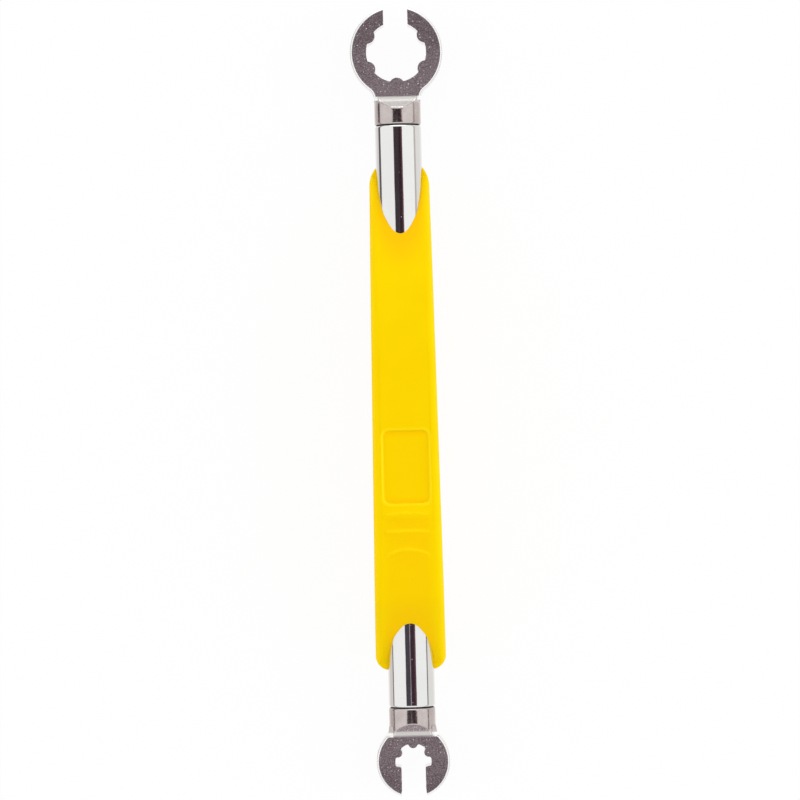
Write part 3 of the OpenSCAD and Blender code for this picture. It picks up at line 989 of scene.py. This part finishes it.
def plastic_finish(grain, crest):
    """Satin yellow moulding: a faint mottle and fine grain, painted shade in warmer, darker tones, and
    painted highlights that make edges paler.
    """
    material, tree, shader, spot = new_finish("yellow_moulding")
    spot_mm = in_mm(tree, spot)
    place = parts_of(tree, spot_mm)
    mottle = place_group(tree, grain, Vector=spot, Size=9.0)["Mask"]
    fine = place_group(tree, grain, Vector=spot, Size=0.2, Contrast=1.2)["Mask"]
    yellow = blend(tree, mottle, *YELLOW)

    # Painted shade: the sunk panel's floor is painted warmer and darker, most of all at its two ends, as
    # shade under its walls
    outline = off_panel(tree, place)
    off_floor = apart(tree, place["Z"], FACE_Z - PANEL_SINK)
    panel = all_of(tree, ease(tree, outline, 0.0, -0.1), ease(tree, off_floor, 0.2, 0.05))
    off_middle = apart(tree, place["Y"], PANEL_Y)
    panel_end_shade = ease(tree, off_middle, PANEL_L / 2 - 1.3, PANEL_L / 2 - 0.3)
    yellow = blend(tree, panel, yellow, blend(tree, panel_end_shade, *PANEL_SHADE_AMBER))

    # Painted shade: the moulding is painted warmer and darker where it is thin over the tube, and patchily
    # darker from the top rib down
    aside = calc(tree, "ABSOLUTE", place["X"])
    wall = calc(tree, "SUBTRACT", off_axis(tree, place), TUBE_R)
    near_tube_shade = all_of(tree, ease(tree, wall, 2.7, 0.2), ease(tree, aside, 4.6, 2.4))
    yellow = blend(tree, near_tube_shade, yellow, NEAR_TUBE_SHADE_YELLOW)
    # Painted shade: patchily darker from the top rib down, where the light falls off towards the lower end
    below = ease(tree, place["Y"], RIB_AT - 0.2, RIB_AT - 1.2)
    patchy = calc(tree, "MULTIPLY_ADD", mottle, 0.6, 0.35)
    low_end_shade = all_of(tree, below, ease(tree, aside, 4.4, 2.4), patchy)
    yellow = blend(tree, low_end_shade, yellow, LOW_END_SHADE_YELLOW)

    # Painted highlights: the ribs' upper edges and the panel's lip are painted paler
    for y, arch in RIBS:
        line = place_group(tree, crest, Vector=spot_mm, At=y, Arch=arch)["Mask"]
        yellow = blend(tree, line, yellow, CREST_HIGHLIGHT_YELLOW)
    lip = ease(tree, calc(tree, "ABSOLUTE", outline), 0.38, 0.1)
    lip = all_of(tree, lip, ease(tree, place["Z"], FACE_Z - 0.25, FACE_Z - 0.1))
    feed(tree, shader["Base Color"], blend(tree, lip, yellow, LIP_HIGHLIGHT_YELLOW))
    feed(tree, shader["Roughness"], calc(tree, "MULTIPLY_ADD", fine, 0.12, 0.3))
    shader["Specular Tint"].default_value = YELLOW_GLOSS
    bump(tree, shader, fine, 0.01, 0.12)
    return material


# Studio. What metal sees of the tent, with pairs for its lower and upper end.

LEFT_TABLE = (0.71, 0.665, 0.65, 1), (0.75, 0.725, 0.71, 1)
RIGHT_TABLE = (0.83, 0.815, 0.8, 1)
MIDDLE_TABLE = (0.93, 0.92, 0.91, 1)
PALE_WALL = (0.955, 0.955, 0.95, 1)
UPPER_RIGHT_WALL = (1.0, 1.0, 0.99, 1)
WINDOW = (3.4, 3.4, 3.4, 1)
LEFT_SEAM = (0.2, 0.165, 0.165, 1), (0.13, 0.105, 0.11, 1)
RIGHT_SEAM = (0.2, 0.17, 0.17, 1), (0.55, 0.5, 0.47, 1)
GAP_LEFT = (0.06, 0.052, 0.062, 1), (0.05, 0.035, 0.042, 1)
GAP_RIGHT = (0.045, 0.022, 0.03, 1), (0.032, 0.017, 0.022, 1)
GAP_EDGE = (0.17, 0.075, 0.1, 1)
ROD = (0.4, 0.36, 0.4, 1)


def lay_floor():
    """A pale table that looks white to the camera and still takes a little of the object's shadow."""
    drop = 0.02
    white_share = 0.93
    bpy.ops.object.select_all(action="DESELECT")
    bpy.ops.mesh.primitive_plane_add(size=3, location=(0, 0, -drop * MM))
    floor = bpy.context.object
    floor.name = "table"
    floor.visible_glossy = False
    material = bpy.data.materials.new("white_table")
    material.use_nodes = True
    tree = material.node_tree
    tree.nodes.clear()
    paint = tree.nodes.new("ShaderNodeBsdfDiffuse")
    paint.inputs["Color"].default_value = (0.94, 0.94, 0.94, 1)
    glow = tree.nodes.new("ShaderNodeEmission")
    seen = tree.nodes.new("ShaderNodeLightPath").outputs["Is Camera Ray"]
    mix = tree.nodes.new("ShaderNodeMixShader")
    feed(tree, mix.inputs[0], calc(tree, "MULTIPLY", seen, white_share))
    feed(tree, mix.inputs[1], paint.outputs[0])
    feed(tree, mix.inputs[2], glow.outputs[0])
    feed(tree, tree.nodes.new("ShaderNodeOutputMaterial").inputs["Surface"], mix.outputs[0])
    floor.data.materials.append(material)


def light_studio():
    """A white tent with a bright ceiling and bright sides. Metal sees what is in it as well."""
    world = bpy.data.worlds.new("tent")
    bpy.context.scene.world = world
    world.use_nodes = True
    tree = world.node_tree
    tree.nodes.clear()
    way = parts_of(tree, tree.nodes.new("ShaderNodeTexCoord").outputs["Generated"])
    ceiling = calc(tree, "MULTIPLY_ADD", way["Z"], 0.95, 0.3)
    sides = calc(tree, "POWER", calc(tree, "ABSOLUTE", way["X"]), 3.0)
    sides = all_of(tree, sides, ease(tree, way["X"], -0.5, 0.5, 1.7, 2.45))
    upper_end = calc(tree, "MULTIPLY", way["Y"], 0.14)
    ends = calc(tree, "MULTIPLY_ADD", calc(tree, "ABSOLUTE", way["Y"]), -0.6, upper_end)
    level = calc(tree, "ADD", calc(tree, "ADD", ceiling, sides), ends)
    level = calc(tree, "MAXIMUM", level, 0.1)
    light = scaled(tree, (1, 1, 1), level)
    rays = tree.nodes.new("ShaderNodeLightPath").outputs
    seen = blend(tree, rays["Is Camera Ray"], light, (1, 1, 1, 1))
    back = tree.nodes.new("ShaderNodeBackground")
    feed(tree, back.inputs["Color"], blend(tree, rays["Is Glossy Ray"], seen, tent_walls(tree, way)))
    feed(tree, tree.nodes.new("ShaderNodeOutputWorld").inputs["Surface"], back.outputs[0])


def tent_walls(tree, way):
    """What metal sees: pale walls, a dark gap overhead for the camera, and a seam low at each side.

    Seam and gap are not the same at the two ends of the tent.
    """
    upper = ease(tree, way["Y"], -0.06, 0.06)
    right = ease(tree, way["X"], -0.3, 0.3)

    def at_ends(low, high):
        return ease(tree, upper, 0.0, 1.0, low, high)

    # The table below the seam, the walls above it, and a window at the upper end
    sides = ease(tree, calc(tree, "ABSOLUTE", way["X"]), 0.5, 0.8)
    seam = ease(tree, right, 0.0, 1.0, at_ends(-0.22, -0.3), at_ends(0.04, 0.016))
    above = calc(tree, "SUBTRACT", way["Z"], seam)
    below = ease(tree, above, 0.02, -0.02)
    table = blend(tree, right, blend(tree, upper, *LEFT_TABLE), RIGHT_TABLE)
    table = blend(tree, sides, MIDDLE_TABLE, table)
    pale = blend(tree, all_of(tree, upper, right), PALE_WALL, UPPER_RIGHT_WALL)
    walls = blend(tree, below, pale, table)
    window = all_of(tree, ease(tree, way["Y"], 0.78, 0.92), ease(tree, way["Z"], 0.12, 0.25))
    walls = blend(tree, window, walls, WINDOW)
    seam_half = ease(tree, right, 0.0, 1.0, at_ends(0.08, 0.17), at_ends(0.08, 0.12))
    seam_core = calc(tree, "MULTIPLY", seam_half, 0.6)
    line = all_of(tree, sides, ease(tree, calc(tree, "ABSOLUTE", above), seam_half, seam_core))
    line_colour = blend(tree, right, blend(tree, upper, *LEFT_SEAM), blend(tree, upper, *RIGHT_SEAM))
    walls = blend(tree, line, walls, line_colour)

    # The gap overhead, which has a warm right edge, and a pale rod at the lower end
    gap_half = at_ends(0.439, 0.372)
    from_middle = calc(tree, "ADD", way["X"], at_ends(0.02, 0.035))
    inside = calc(tree, "SUBTRACT", gap_half, calc(tree, "ABSOLUTE", from_middle))
    along = ease(tree, calc(tree, "ABSOLUTE", way["Y"]), 0.42, 0.3)
    overhead = calc(tree, "GREATER_THAN", way["Z"], 0.0)
    gap = all_of(tree, ease(tree, inside, -0.015, 0.015), along, overhead)
    dark_left, dark_right = blend(tree, upper, *GAP_LEFT), blend(tree, upper, *GAP_RIGHT)
    dark = blend(tree, ease(tree, way["X"], -0.12, 0.1), dark_left, dark_right)
    edge = all_of(tree, right, ease(tree, inside, 0.18, 0.0))
    dark = blend(tree, edge, dark, GAP_EDGE)
    rod_at = -0.057
    rod = all_of(tree, none_of(tree, upper), ease(tree, apart(tree, way["X"], rod_at), 0.035, 0.012))
    dark = blend(tree, rod, dark, ROD)
    return blend(tree, gap, walls, dark)


def set_camera():
    """Straight above the tool, turned a little, so that the tool leans as it does in the photograph."""
    lean = math.radians(1.41)
    view_width = 121.2
    distance = 600.0
    aside = (-0.70, 0.28)
    data = bpy.data.cameras.new("camera")
    data.lens = data.sensor_width * distance / view_width
    data.clip_end = 10
    camera = bpy.data.objects.new("camera", data)
    bpy.context.scene.collection.objects.link(camera)
    camera.rotation_euler = (0, 0, -lean)
    shift = Matrix.Rotation(-lean, 3, "Z") @ Vector((*aside, 0))
    camera.location = (shift + Vector((0, 0, AXIS_H + distance))) * MM
    bpy.context.scene.camera = camera


def dress():
    grain = grain_group()
    specks = speck_group()
    grime = grime_group()
    steel = head_group(grain, specks, grime)
    hand_over(model_tube(), "core_tube", chrome_finish(grain, specks, grime))
    for head in (LARGE, SMALL):
        hand_over(model_head(head), head.node, head_finish(head, steel))
    hand_over(model_grip(), "grip", plastic_finish(grain, crest_highlight_group()))


bpy.context.scene.view_settings.view_transform = "Standard"
dress()
lay_floor()
light_studio()
set_camera()
